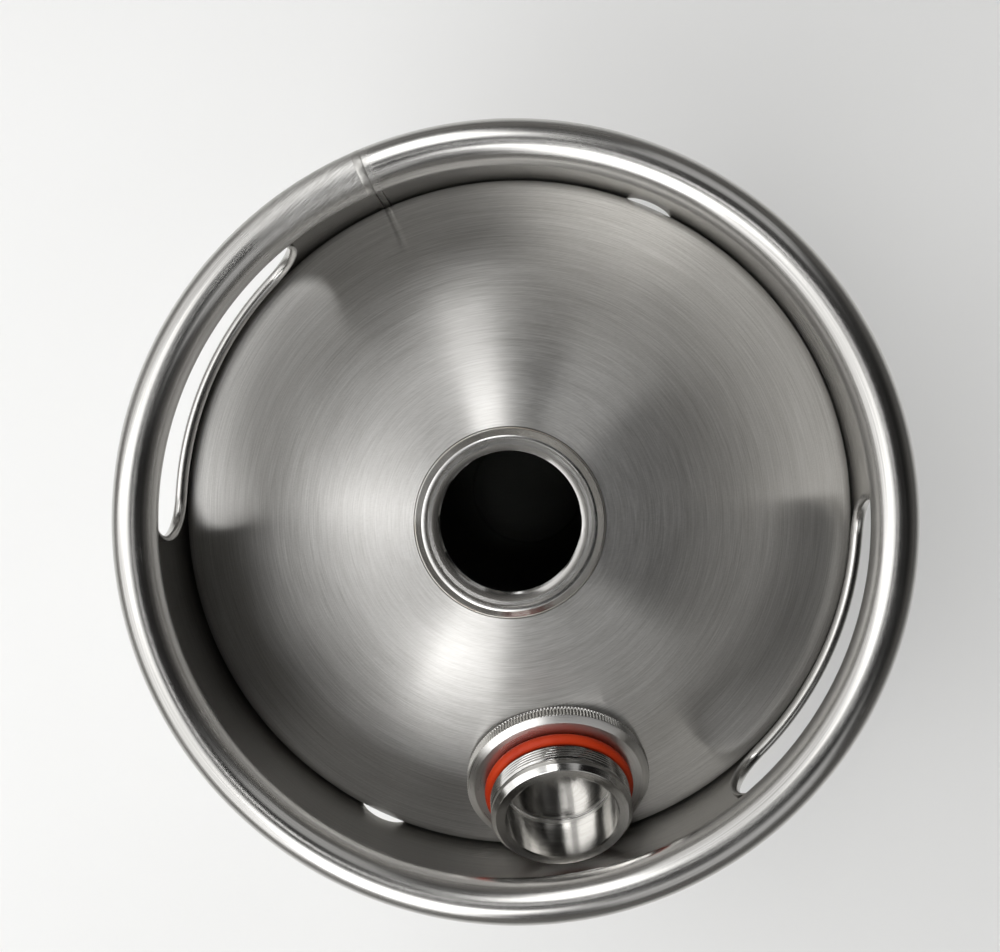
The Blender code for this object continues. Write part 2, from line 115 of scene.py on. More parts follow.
# Screw plug, along its own axis from its closed face
PLUG_FLANGE_R = 30.0
PLUG_FLANGE_T = 5.0
PLUG_BEVEL_WIDTH = 2.6
PLUG_BEVEL_DEPTH = 1.1
PLUG_GROOVE_R = 20.35
PLUG_THREAD_R = 22.5
PLUG_LENGTH = 18.6
PLUG_END_R = 21.0
PLUG_CUP_R = 17.8
PLUG_CUP_DEPTH = 15.3
RING_SECTION_R = 1.75
RING_MID_R = PLUG_GROOVE_R + GAP + RING_SECTION_R
RING_MID_Z = PLUG_FLANGE_T + GAP + RING_SECTION_R
PLUG_AZIMUTH_DEG = -56.5
PLUG_RADIUS = 86.1
PLUG_GROOVE_END = 8.9
PLUG_THREAD_FROM = 9.45
PLUG_THREAD_TO = 14.7
KNURL_TEETH = 170
KNURL_DEPTH = 0.7
KNURL_FROM = 0.3
KNURL_TO = 3.95

# Weld beads and the ripples in them
GIRTH_HALF_GAP = 1.3
GIRTH_BEAD_RISE = 0.4
GIRTH_BEAD_HALF_WIDTH = 1.2
GIRTH_RIPPLES = 460
FILLET_RISE = 1.3
FILLET_LENGTH = 1.6
FILLET_RIPPLES = 380
COLUMNS_PER_RIPPLE = 4
NECK_WELD_INNER_R = 28.72
NECK_WELD_OUTER_R = 29.14
NECK_WELD_SEAT_R = 29.0

# Mesh density
RING_COLUMNS = 320
COLUMN_STEP = 360.0 / RING_COLUMNS
TURNED_COLUMNS = 240
COLUMNS_PER_TOOTH = 6
NECK_ROWS_PER_PITCH = 12
PLUG_ROWS_PER_PITCH = 14
TOP_SKIRT_ROWS = 34
BOTTOM_SKIRT_ROWS = 33

# Mesh patches round the openings: half the width in columns, first row, last row
HANDHOLD_PATCH = (28, 10, 30)
TOP_DRAIN_PATCH = (6, 0, 12)
BOTTOM_DRAIN_PATCH = (6, 16, 28)

# Camera, in metres and degrees: straight above the keg, leaning a few degrees off the vertical
VIEW_TURN = 23.6  # azimuth in the row frame of the picture's rightward direction
CAMERA_LENS = 36.0
CAMERA_PLACE = (0.01111, 0.02104, 0.62402)
CAMERA_LEAN_X = -1.29
CAMERA_LEAN_Y = 2.65

# Lights: name, azimuth from the picture's rightward direction, elevation, distance, width, height
# and brightness per area. Angles are in degrees, lengths in metres.
LIGHTS = [
    ("window_left_far", 149, 47, 1.7, 1.96, 1.9, 0.85),
    ("window_left_near", 209, 47, 1.7, 1.96, 1.9, 1.2),
    ("lamp_overhead", 0, 89, 0.95, 0.08, 0.08, 4.0),
    ("window_low_left", 252, 46, 2.0, 0.7, 1.5, 2.4),
    ("window_up", 106, 53, 2.0, 0.42, 1.3, 2.4),
    ("fill_upper_right", 57, 45, 2.2, 0.9, 1.2, 0.5),
    ("fill_lower_right", 300, 45, 2.2, 1.2, 1.2, 0.55),
]
FLOOR_WASH = ("floor_wash", 165, 66, 3.4, 2.4, 2.4, 2.1)
LIGHT_TARGET = (0.0, 0.0, 0.3)
FLOOR_HALF = 6.0


# ---------------------------------------------------------------- outlines

def arc(centre, radius, start_deg, end_deg, count):
    points = []
    for i in range(count + 1):
        a = radians(start_deg + (end_deg - start_deg) * i / count)
        points.append((centre[0] + radius * cos(a), centre[1] + radius * sin(a)))
    return points


def offset_line(points, distance):
    """The open line moved sideways by distance, to its right where it runs."""
    moved = []
    for i, p in enumerate(points):
        before = points[max(i - 1, 0)]
        after = points[min(i + 1, len(points) - 1)]
        first = Vector((p[0] - before[0], p[1] - before[1]))
        second = Vector((after[0] - p[0], after[1] - p[1]))
        if first.length < 1e-9:
            first = second.copy()
        if second.length < 1e-9:
            second = first.copy()
        first.normalize()
        second.normalize()
        along = (first + second).normalized()
        stretch = 1.0 / max(along.dot(first), 0.5)
        moved.append((p[0] + along.y * distance * stretch, p[1] - along.x * distance * stretch))
    return moved


def split_long(points, longest):
    """The line with points added so that no step is longer than this."""
    made = [points[0]]
    for p in points[1:]:
        q = made[-1]
        parts = max(1, ceil(hypot(p[0] - q[0], p[1] - q[1]) / longest))
        for i in range(1, parts + 1):
            made.append((q[0] + (p[0] - q[0]) * i / parts, q[1] + (p[1] - q[1]) * i / parts))
    return made


# ---------------------------------------------------------------- meshes

def finish_mesh(name, verts, faces, body, node, finish, sharp_deg=32.0, place=None):
    """Makes a piece that rides its body, stands for its CAD node and takes its slot's finish."""
    mesh = bpy.data.meshes.new(name)
    mesh.from_pydata([tuple(c * MM for c in v) for v in verts], [], faces)
    bm = bmesh.new()
    bm.from_mesh(mesh)
    bmesh.ops.remove_doubles(bm, verts=bm.verts, dist=2e-6)
    bmesh.ops.recalc_face_normals(bm, faces=bm.faces)
    bm.to_mesh(mesh)
    bm.free()
    return finish_object(name, mesh, body, node, finish, sharp_deg, place)


def finish_object(name, mesh, body, node, finish, sharp_deg, place):
    mesh.shade_smooth()
    mesh.set_sharp_from_angle(angle=radians(sharp_deg))
    mesh.materials.clear()
    mesh.materials.append(finish)
    obj = bpy.data.objects.new(name, mesh)
    bpy.context.scene.collection.objects.link(obj)
    if place is not None:
        obj.matrix_world = place
    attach(obj, body)
    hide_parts(node)
    return obj


def lathe(rows, columns, closed, ripple=None):
    """Verts and faces of rows (r, z) turned about Z.

    A row that is marked, as (r, z, mark), takes its radius from ripple(r, z, turn)."""
    verts = []
    starts = []
    for row in rows:
        r, z = row[:2]
        marked = len(row) > 2
        starts.append(len(verts))
        if r < 1e-6:
            verts.append((0.0, 0.0, z))
            continue
        for i in range(columns):
            turn = i / columns
            radius = ripple(r, z, turn) if marked else r
            verts.append((radius * cos(2 * pi * turn), radius * sin(2 * pi * turn), z))
    faces = []
    count = len(rows)
    for j in range(count if closed else count - 1):
        k = (j + 1) % count
        a, b = starts[j], starts[k]
        flat_a, flat_b = rows[j][0] < 1e-6, rows[k][0] < 1e-6
        for i in range(columns):
            n = (i + 1) % columns
            if flat_a:
                faces.append((a, b + n, b + i))
            elif flat_b:
                faces.append((a + i, a + n, b))
            else:
                faces.append((a + i, a + n, b + n, b + i))
    return verts, faces


def joined(*parts):
    verts, faces = [], []
    for more_verts, more_faces in parts:
        base = len(verts)
        verts += more_verts
        faces += [tuple(base + i for i in f) for f in more_faces]
    return verts, faces


# ---------------------------------------------------------------- materials

def steel(value):
    """Colour of steel this bright, a little warm."""
    return (value, value - 0.01, value - 0.03, 1)


def shader_nodes(name, colour, roughness, metallic, anisotropic=0.0):
    made = bpy.data.materials.new(name)
    made.use_nodes = True
    tree = made.node_tree
    shader = tree.nodes["Principled BSDF"]
    shader.inputs["Base Color"].default_value = colour
    shader.inputs["Roughness"].default_value = roughness
    shader.inputs["Metallic"].default_value = metallic
    if anisotropic:
        shader.inputs["Anisotropic"].default_value = anisotropic
        tangent = tree.nodes.new("ShaderNodeTangent")
        tangent.direction_type = "RADIAL"
        tangent.axis = "Z"
        tree.links.new(tangent.outputs["Tangent"], shader.inputs["Tangent"])
        shader.inputs["Anisotropic Rotation"].default_value = 0.25
    return made, tree, shader


def math_node(tree, operation, *values):
    node = tree.nodes.new("ShaderNodeMath")
    node.operation = operation
    for i, value in enumerate(values):
        if isinstance(value, (int, float)):
            node.inputs[i].default_value = value
        else:
            tree.links.new(value, node.inputs[i])
    return node.outputs[0]


def ring_space(tree):
    """Sockets for the object's own coordinates: x, y, z, radius and the unit direction x, y."""
    coords = tree.nodes.new("ShaderNodeTexCoord")
    split = tree.nodes.new("ShaderNodeSeparateXYZ")
    tree.links.new(coords.outputs["Object"], split.inputs[0])
    x, y, z = split.outputs[0], split.outputs[1], split.outputs[2]
    squared = math_node(tree, "MULTIPLY_ADD", x, x, math_node(tree, "MULTIPLY", y, y))
    radius = math_node(tree, "MAXIMUM", math_node(tree, "SQRT", squared), 0.0005)
    return {
        "object": coords.outputs["Object"],
        "x": x,
        "y": y,
        "z": z,
        "radius": radius,
        "ux": math_node(tree, "DIVIDE", x, radius),
        "uy": math_node(tree, "DIVIDE", y, radius),
    }


def ring_streaks(tree, space, across, along, height, detail=2.0, seed=0.0):
    """Noise drawn out in circles: lines per metre across and in height, breaks per turn along."""
    combine = tree.nodes.new("ShaderNodeCombineXYZ")
    tree.links.new(math_node(tree, "MULTIPLY_ADD", space["ux"], along, seed), combine.inputs[0])
    tree.links.new(math_node(tree, "MULTIPLY", space["uy"], along), combine.inputs[1])
    tree.links.new(math_node(tree, "MULTIPLY", space["z"], height), combine.inputs[2])
    noise = tree.nodes.new("ShaderNodeTexNoise")
    noise.noise_dimensions = "4D"
    noise.inputs["Scale"].default_value = 1.0
    noise.inputs["Detail"].default_value = detail
    noise.inputs["Roughness"].default_value = 0.6
    tree.links.new(combine.outputs[0], noise.inputs["Vector"])
    tree.links.new(math_node(tree, "MULTIPLY", space["radius"], across), noise.inputs["W"])
    return noise.outputs["Fac"]


def blotches(tree, space, scale, detail=3.0, distortion=0.0):
    noise = tree.nodes.new("ShaderNodeTexNoise")
    noise.inputs["Scale"].default_value = scale
    noise.inputs["Detail"].default_value = detail
    noise.inputs["Distortion"].default_value = distortion
    tree.links.new(space["object"], noise.inputs["Vector"])
    return noise.outputs["Fac"]


def spread(tree, value, low, high, out_low, out_high):
    """Maps value from low..high to out_low..out_high and holds it there."""
    node = tree.nodes.new("ShaderNodeMapRange")
    node.inputs["From Min"].default_value = low
    node.inputs["From Max"].default_value = high
    node.inputs["To Min"].default_value = out_low
    node.inputs["To Max"].default_value = out_high
    tree.links.new(value, node.inputs["Value"])
    return node.outputs["Result"]


def mixed(tree, first, second, factor):
    """Colour between the first and the second, each of them a colour or a socket."""
    mix = tree.nodes.new("ShaderNodeMix")
    mix.data_type = "RGBA"
    for name, colour in (("A", first), ("B", second)):
        if isinstance(colour, tuple):
            mix.inputs[name].default_value = colour
        else:
            tree.links.new(colour, mix.inputs[name])
    tree.links.new(factor, mix.inputs["Factor"])
    return mix.outputs["Result"]


def tinted(tree, shader, dark, light, factor):
    tree.links.new(mixed(tree, dark, light, factor), shader.inputs["Base Color"])


def raised(tree, shader, height, distance):
    bump = tree.nodes.new("ShaderNodeBump")
    bump.inputs["Strength"].default_value = 1.0
    bump.inputs["Distance"].default_value = distance
    tree.links.new(height, bump.inputs["Height"])
    tree.links.new(bump.outputs["Normal"], shader.inputs["Normal"])


def scratches(tree, space, turn_deg, length, width):
    """Noise drawn out along one direction: length and width of a stroke are in metres."""
    mapping = tree.nodes.new("ShaderNodeMapping")
    mapping.vector_type = "TEXTURE"
    mapping.inputs["Rotation"].default_value = (0.0, 0.0, radians(turn_deg))
    mapping.inputs["Scale"].default_value = (length, width, width)
    tree.links.new(space["object"], mapping.inputs["Vector"])
    noise = tree.nodes.new("ShaderNodeTexNoise")
    noise.inputs["Scale"].default_value = 1.0
    noise.inputs["Detail"].default_value = 3.0
    tree.links.new(mapping.outputs[0], noise.inputs["Vector"])
    return noise.outputs["Fac"]


def facing_inwards(tree, space, middle_z):
    """1 where the surface faces the point on the keg's axis at this height, 0 elsewhere."""
    geometry = tree.nodes.new("ShaderNodeNewGeometry")
    from_middle = tree.nodes.new("ShaderNodeVectorMath")
    from_middle.operation = "SUBTRACT"
    from_middle.inputs[1].default_value = (0.0, 0.0, middle_z)
    tree.links.new(space["object"], from_middle.inputs[0])
    dot = tree.nodes.new("ShaderNodeVectorMath")
    dot.operation = "DOT_PRODUCT"
    tree.links.new(geometry.outputs["Normal"], dot.inputs[0])
    tree.links.new(from_middle.outputs[0], dot.inputs[1])
    return math_node(tree, "LESS_THAN", dot.outputs["Value"], 0.0)


def brushed_sheet():
    """Shell: sheet brushed in circles round the keg's axis, with stray scratches and faint smudges.

    The inside has a rougher mill finish, and its colour is painted dark as painted shade inside the
    closed keg."""
    made, tree, shader = shader_nodes("brushed_shell", steel(0.62), 0.38, 1.0, 0.95)
    space = ring_space(tree)
    fine = ring_streaks(tree, space, across=2400.0, along=5.0, height=2400.0, detail=3.0)
    broad = ring_streaks(tree, space, across=500.0, along=1.6, height=500.0, seed=7.0)
    stray = scratches(tree, space, turn_deg=35.0, length=0.006, width=0.0004)
    smudge = blotches(tree, space, scale=16.0, detail=4.0, distortion=0.6)
    rings = math_node(tree, "MULTIPLY_ADD", broad, 0.2, math_node(tree, "MULTIPLY", fine, 0.6))
    lines = math_node(tree, "MULTIPLY_ADD", stray, 0.2, rings)
    inside = facing_inwards(tree, space, GIRTH_Z * MM)
    brushed = mixed(tree, steel(0.50), steel(0.71), spread(tree, lines, 0.36, 0.64, 0.0, 1.0))
    # Painted shade: the inward-facing side takes a dark grey colour for the shade inside the closed
    # keg; only its extra roughness below is the mill finish.
    tinted(tree, shader, brushed, (0.24, 0.24, 0.22, 1), inside)
    grain = spread(tree, lines, 0.36, 0.64, 0.32, 0.38)
    rough = math_node(tree, "ADD", grain, spread(tree, smudge, 0.35, 0.7, -0.02, 0.04))
    rough = math_node(tree, "MULTIPLY_ADD", inside, 0.15, rough)
    tree.links.new(rough, shader.inputs["Roughness"])
    raised(tree, shader, lines, 0.00001)
    return made


def rolled_strip():
    """Chimes: satin strip with lines that run round the keg, sanded next to its butt seam."""
    made, tree, shader = shader_nodes("rolled_strip", steel(0.62), 0.26, 1.0, 0.45)
    space = ring_space(tree)
    fine = ring_streaks(tree, space, across=4000.0, along=2.2, height=4000.0, detail=3.0, seed=3.0)
    smudge = blotches(tree, space, scale=22.0, detail=4.0, distortion=0.4)
    angle = math_node(tree, "ARCTAN2", space["y"], space["x"])
    start = radians(SANDED_FROM_DEG)
    end = radians(SANDED_TO_DEG)
    rises = spread(tree, angle, start - 0.02, start + 0.03, 0.0, 1.0)
    falls = spread(tree, angle, end - 0.08, end + 0.05, 1.0, 0.0)
    above = spread(tree, space["z"], (RIM_MID_Z - 16) * MM, (RIM_MID_Z - 8) * MM, 0.0, 1.0)
    sanded = math_node(tree, "MULTIPLY", math_node(tree, "MULTIPLY", rises, falls), above)
    grit = scratches(tree, space, SANDING_STROKE_DEG, length=0.005, width=0.0005)
    mix = tree.nodes.new("ShaderNodeMix")
    tree.links.new(sanded, mix.inputs["Factor"])
    tree.links.new(fine, mix.inputs["A"])
    tree.links.new(grit, mix.inputs["B"])
    lines = mix.outputs["Result"]
    tinted(tree, shader, steel(0.54), steel(0.70), spread(tree, lines, 0.35, 0.65, 0.0, 1.0))
    grain = spread(tree, fine, 0.3, 0.7, 0.2, 0.25)
    rough = math_node(tree, "ADD", grain, spread(tree, smudge, 0.35, 0.7, -0.02, 0.05))
    rough = math_node(tree, "MULTIPLY_ADD", sanded, 0.14, rough)
    tree.links.new(rough, shader.inputs["Roughness"])
    depth = math_node(tree, "MULTIPLY_ADD", sanded, 20.0, 1.0)
    raised(tree, shader, math_node(tree, "MULTIPLY", lines, depth), 0.000006)
    return made


def turned_steel(name, face_z, bevel, satin):
    """Neck and plug: bright, with the rings a lathe tool leaves.

    The face at height face_z and the bevel beside it are rougher by satin."""
    made, tree, shader = shader_nodes(name, steel(0.70), 0.16, 1.0, 0.35)
    space = ring_space(tree)
    fine = ring_streaks(tree, space, across=2000.0, along=0.9, height=2000.0, seed=1.0)
    smudge = blotches(tree, space, scale=60.0, detail=2.0, distortion=0.5)
    tinted(tree, shader, steel(0.62), steel(0.72), spread(tree, fine, 0.3, 0.7, 0.0, 1.0))
    grain = spread(tree, fine, 0.3, 0.7, 0.12, 0.17)
    rough = math_node(tree, "ADD", grain, spread(tree, smudge, 0.4, 0.7, 0.0, 0.05))
    band = (bevel + 0.1) * MM / 2
    away = math_node(tree, "ABSOLUTE", math_node(tree, "SUBTRACT", space["z"], face_z * MM - band))
    rough = math_node(tree, "ADD", rough, spread(tree, away, band, band + 0.00006, satin, 0.0))
    tree.links.new(rough, shader.inputs["Roughness"])
    raised(tree, shader, fine, 0.000003)
    return made


def weld_bead(name, stain_colour):
    """Welds: ground, with patches of the stain colour left on them."""
    made, tree, shader = shader_nodes(name, (0.52, 0.50, 0.47, 1), 0.4, 1.0)
    space = ring_space(tree)
    grain = blotches(tree, space, scale=900.0, detail=3.0)
    stain = blotches(tree, space, scale=45.0, detail=3.0, distortion=0.8)
    clean = (0.62, 0.61, 0.58, 1)
    tinted(tree, shader, stain_colour, clean, spread(tree, stain, 0.35, 0.6, 0.0, 1.0))
    tree.links.new(spread(tree, grain, 0.3, 0.7, 0.32, 0.5), shader.inputs["Roughness"])
    raised(tree, shader, grain, 0.00006)
    return made


def silicone():
    """Seal ring: matt orange-red silicone with a fine moulded skin and a little dust."""
    made, tree, shader = shader_nodes("red_silicone", (0.44, 0.03, 0.008, 1), 0.5, 0.0)
    shader.inputs["Specular IOR Level"].default_value = 0.3
    space = ring_space(tree)
    skin = blotches(tree, space, scale=1400.0, detail=2.0)
    tone = blotches(tree, space, scale=70.0, detail=3.0, distortion=0.5)
    dust = blotches(tree, space, scale=600.0, detail=4.0)
    deep, bright = (0.42, 0.024, 0.003, 1), (0.54, 0.044, 0.006, 1)
    tinted(tree, shader, deep, bright, spread(tree, tone, 0.3, 0.7, 0.0, 1.0))
    tree.links.new(spread(tree, dust, 0.45, 0.7, 0.42, 0.62), shader.inputs["Roughness"])
    shader.inputs["Subsurface Weight"].default_value = 0.08
    shader.inputs["Subsurface Radius"].default_value = (0.002, 0.0006, 0.0003)
    raised(tree, shader, skin, 0.00003)
    return made


# ---------------------------------------------------------------- chimes

def chime_profile():
    """Middle line of the flare and curl above the skirt, as (r, height above the rim's middle)."""
    line = []
    side_r = CURL_CENTRE_R + CURL_MID_R
    for i in range(1, 6):
        t = i / 6
        blend = t * t * (3 - 2 * t)
        line.append((SKIRT_MID_R + (side_r - SKIRT_MID_R) * blend, -FLARE_HEIGHT * (1 - t)))
    return line + arc((CURL_CENTRE_R, 0.0), CURL_MID_R, 0.0, CURL_END_DEG, 48)


def chime_columns():
    """Azimuths of the mesh columns; the seam's two edges take the place of the nearest ones."""
    edge = degrees(SEAM_HALF / SKIRT_MID_R)
    seam = (SEAM_DEG - edge, SEAM_DEG + edge)
    plain = [i * COLUMN_STEP for i in range(RING_COLUMNS)]
    kept = [a for a in plain if abs(a - SEAM_DEG) > edge + 0.15]
    columns = sorted(kept + list(seam))
    return columns, columns.index(seam[0])


def hole_path(half, rows, length, height, side, edge):
    """A patch's border corners (column, row), and the point on the slot's edge that each one joins.

    The patch reaches half columns to each side and is rows tall, with its middle at (0, 0). Its
    cells are side wide and edge high. A point on the slot's edge is (s, h, ns, nh): its place along
    the strip and up it, and the direction away from the slot."""
    top = rows / 2
    border = [(c, top) for c in range(-half, half)]
    border += [(half, top - r) for r in range(rows)]
    border += [(c, -top) for c in range(half, -half, -1)]
    border += [(-half, -top + r) for r in range(rows)]
    radius = height / 2
    straight = (length - height) / 2
    path = []
    if straight < 1e-6:
        for c, r in border:
            a = atan2(r * edge, c * side)
            path.append((radius * cos(a), radius * sin(a), cos(a), sin(a)))
        return border, path
    flat = straight / side
    over = half - flat
    span = 2 * over + rows
    for c, r in border:
        if abs(c) <= flat:
            up = 1.0 if r > 0 else -1.0
            path.append((c * side, up * radius, 0.0, up))
            continue
        way = 1.0 if c > 0 else -1.0
        if r == top:
            run = abs(c) - flat
        elif r == -top:
            run = over + rows + (half - abs(c))
        else:
            run = over + (top - r)
        a = pi / 2 - pi * run / span
        path.append((way * (straight + radius * cos(a)), radius * sin(a), way * cos(a), sin(a)))
    return border, path


def skirt_heights(skirt_length, rows):
    return [-skirt_length + (skirt_length - FLARE_HEIGHT) * i / rows for i in range(rows + 1)]


def opening_patch(heights, opening):
    """Verts (r, azimuth, height) and faces from an opening's patch border to its edge or lip."""
    azimuth, middle, length, height, half, low, high, lip = opening
    side = radians(COLUMN_STEP) * SKIRT_MID_R
    cell = heights[1] - heights[0]
    border, path = hole_path(half, high - low, length, height, side, cell)
    patch_middle = (heights[low] + heights[high]) / 2
    grow = LIP_OUTER_R if lip else 0.0
    lip_mid = LIP_OUTER_R - CHIME_T / 2
    rings = [("flat", share) for share in (0.0, 0.3, 0.55, 0.75, 0.9, 1.0)]
    if lip:
        for i in range(1, LIP_STEPS + 1):
            rings.append(("lip", LIP_START_DEG + LIP_TURN_DEG * i / LIP_STEPS))
    verts = []
    for kind, value in rings:
        for (c, r), (s, h, ns, nh) in zip(border, path):
            if kind == "flat":
                from_s, from_h = c * side, patch_middle + r * cell
                at_s = from_s + (s + ns * grow - from_s) * value
                at_h = from_h + (middle + h + nh * grow - from_h) * value
                radius = SKIRT_MID_R
            else:
                away = LIP_OUTER_R + lip_mid * cos(radians(value))
                at_s, at_h = s + ns * away, middle + h + nh * away
                radius = SKIRT_MID_R - lip_mid + lip_mid * sin(radians(value))
            verts.append((radius, azimuth + degrees(at_s / SKIRT_MID_R), at_h))
    n = len(border)
    faces = []
    for k in range(len(rings) - 1):
        for i in range(n):
            a, b = k * n + i, k * n + (i + 1) % n
            faces.append((a, b, b + n, a + n))
    return verts, faces


def chime_mesh(skirt_length, rows, openings):
    """Middle surface of a chime as verts (r, azimuth, height) and faces.

    An opening is (azimuth, middle height, length, height, half width of its patch in columns, the
    patch's first row, its last row, whether it has a rolled lip)."""
    columns, seam_at = chime_columns()
    count = len(columns)
    heights = skirt_heights(skirt_length, rows)
    profile = [(SKIRT_MID_R, h) for h in heights] + chime_profile()
    verts = [(r, a, h) for r, h in profile for a in columns]
    removed = set()
    for opening in openings:
        half, low, high = opening[4:7]
        centre = round(opening[0] / COLUMN_STEP)
        inside = {round((centre + c) * COLUMN_STEP, 6) % 360.0 for c in range(-half, half)}
        cleared = [i for i, a in enumerate(columns) if round(a, 6) % 360.0 in inside]
        removed |= {(j, i) for j in range(low, high) for i in cleared}
    faces = []
    for j in range(len(profile) - 1):
        for i in range(count):
            if i == seam_at or (j, i) in removed:
                continue
            k = (i + 1) % count
            faces.append((j * count + i, j * count + k, (j + 1) * count + k, (j + 1) * count + i))
    return joined((verts, faces), *[opening_patch(heights, opening) for opening in openings])


def sheet_piece(name, polar_verts, faces, rim_z, way, node, finish):
    """A keg piece of the strip's thickness from its middle surface, given as (r, azimuth, height).

    Heights are measured from the rim's middle at rim_z. The top rim's way is 1, the foot's -1."""
    mesh = bpy.data.meshes.new(name + "_middle")
    points = []
    for r, a, h in polar_verts:
        points.append((r * cos(radians(a)) * MM, r * sin(radians(a)) * MM, (rim_z + way * h) * MM))
    mesh.from_pydata(points, [], faces)
    bm = bmesh.new()
    bm.from_mesh(mesh)
    bmesh.ops.remove_doubles(bm, verts=bm.verts, dist=2e-6)
    loose = [v for v in bm.verts if not v.link_faces]
    bmesh.ops.delete(bm, geom=loose, context="VERTS")
    bmesh.ops.recalc_face_normals(bm, faces=bm.faces)
    bm.to_mesh(mesh)
    bm.free()
    helper = bpy.data.objects.new(name + "_middle", mesh)
    bpy.context.scene.collection.objects.link(helper)
    thick = helper.modifiers.new("thickness", "SOLIDIFY")
    thick.thickness = CHIME_T * MM
    thick.offset = 0.0
    thick.use_even_offset = True
    graph = bpy.context.evaluated_depsgraph_get()
    made = bpy.data.meshes.new_from_object(helper.evaluated_get(graph))
    made.name = name
    bpy.data.objects.remove(helper)
    bm = bmesh.new()
    bm.from_mesh(made)
    bmesh.ops.recalc_face_normals(bm, faces=bm.faces)
    bm.to_mesh(made)
    bm.free()
    return finish_object(name, made, "keg", node, finish, 40.0, None)


def seam_mesh(skirt_length, rows):
    """Middle surface of the butt weld: a narrow strip, slightly crowned between two grooves."""
    profile = [(SKIRT_MID_R, h) for h in skirt_heights(skirt_length, rows)] + chime_profile()
    outer = offset_line(profile, 1.0)
    half = degrees(SEAM_HALF / SKIRT_MID_R) - 0.03
    lanes = [(-1.0, -0.12), (-0.82, -0.02), (-0.4, 0.03), (0.0, 0.04),
             (0.4, 0.03), (0.82, -0.02), (1.0, -0.12)]
    verts = []
    for (r, h), (ro, ho) in zip(profile, outer):
        for across, lift in lanes:
            verts.append((r + (ro - r) * lift, SEAM_DEG + half * across, h + (ho - h) * lift))
    n = len(lanes)
    faces = []
    for j in range(len(profile) - 1):
        for i in range(n - 1):
            faces.append((j * n + i, j * n + i + 1, (j + 1) * n + i + 1, (j + 1) * n + i))
    return verts, faces


def make_chimes(strip, weld):
    drain = 2 * DRAIN_R
    top_openings = [(a, -HANDHOLD_MIDDLE, HANDHOLD_LENGTH, HANDHOLD_HEIGHT, *HANDHOLD_PATCH, True)
                    for a in (0.0, 180.0)]
    top_openings += [(a, -TOP_DRAIN_BELOW, drain, drain, *TOP_DRAIN_PATCH, False)
                     for a in (90.0, 270.0)]
    foot_openings = [(a, -BOTTOM_DRAIN_BELOW, drain, drain, *BOTTOM_DRAIN_PATCH, False)
                     for a in (0.0, 90.0, 180.0, 270.0)]
    chimes = [
        ("top_chime", RIM_MID_Z, 1.0, TOP_SKIRT_LENGTH, TOP_SKIRT_ROWS, top_openings),
        ("bottom_chime", CURL_OUTER_R, -1.0, BOTTOM_SKIRT_LENGTH, BOTTOM_SKIRT_ROWS, foot_openings),
    ]
    for node, rim_z, way, skirt_length, rows, openings in chimes:
        verts, faces = chime_mesh(skirt_length, rows, openings)
        sheet_piece(node + "_fine", verts, faces, rim_z, way, node, strip)
        verts, faces = seam_mesh(skirt_length, rows)
        seam = node + "_seam"
        sheet_piece(seam + "_fine", verts, faces, rim_z, way, seam + "_weld", weld)


# ---------------------------------------------------------------- shell

def cone_z(r):
    return CONE_REF_Z - (r - CONE_REF_R) * tan(radians(CONE_DEG))


def crown_centre_z():
    join_r = CROWN_R * sin(radians(CONE_DEG))
    return cone_z(join_r) - CROWN_R * cos(radians(CONE_DEG))


def shoulder_centreline():
    slope = radians(CONE_DEG)
    mid_crown = CROWN_R - SHELL_T / 2
    hole_deg = degrees(acos(NECK_HOLE_R / mid_crown))
    line = arc((0.0, crown_centre_z()), mid_crown, hole_deg, 90 - CONE_DEG, 16)
    centre_r = SHELL_OUTER_R - KNUCKLE_R
    centre_z = cone_z(centre_r + KNUCKLE_R * sin(slope)) - KNUCKLE_R * cos(slope)
    line += arc((centre_r, centre_z), KNUCKLE_R - SHELL_T / 2, 90 - CONE_DEG, 0.0, 14)
    return line


def rib_points(z):
    """Centreline points of the stiffening rib round the cylinder, downwards."""
    mid_r = SHELL_OUTER_R - SHELL_T / 2
    points = []
    for i in range(25):
        t = i / 24
        points.append((mid_r + RIB_RISE * sin(pi * t) ** 2, z + RIB_HALF_WIDTH * (1 - 2 * t)))
    return points


def bottom_centreline():
    mid_r = SHELL_OUTER_R - SHELL_T / 2
    knuckle_mid = BOTTOM_KNUCKLE_R - SHELL_T / 2
    centre_r = mid_r - knuckle_mid
    crown_mid = BOTTOM_CROWN_R - SHELL_T / 2
    sine = centre_r / (crown_mid - knuckle_mid)
    touch_deg = degrees(atan2(-sqrt(1 - sine * sine), sine))
    line = arc((centre_r, BOTTOM_KNUCKLE_Z), knuckle_mid, 0.0, touch_deg, 18)
    crown_z = BOTTOM_KNUCKLE_Z + (crown_mid - knuckle_mid) * sqrt(1 - sine * sine)
    edge_deg = -degrees(acos((SUMP_R + SUMP_SLOPE) / crown_mid))
    line += arc((0.0, crown_z), crown_mid, touch_deg, edge_deg, 12)[1:]
    sump_z = crown_z - sqrt(crown_mid**2 - SUMP_R**2) - SUMP_DEPTH
    top_z = line[-1][1]
    for i in range(1, 8):
        t = i / 8
        blend = t * t * (3 - 2 * t)
        line.append((SUMP_R + SUMP_SLOPE * (1 - t), top_z + (sump_z - top_z) * blend))
    return line + split_long([(SUMP_R, sump_z), (0.0, sump_z)], 8.0)


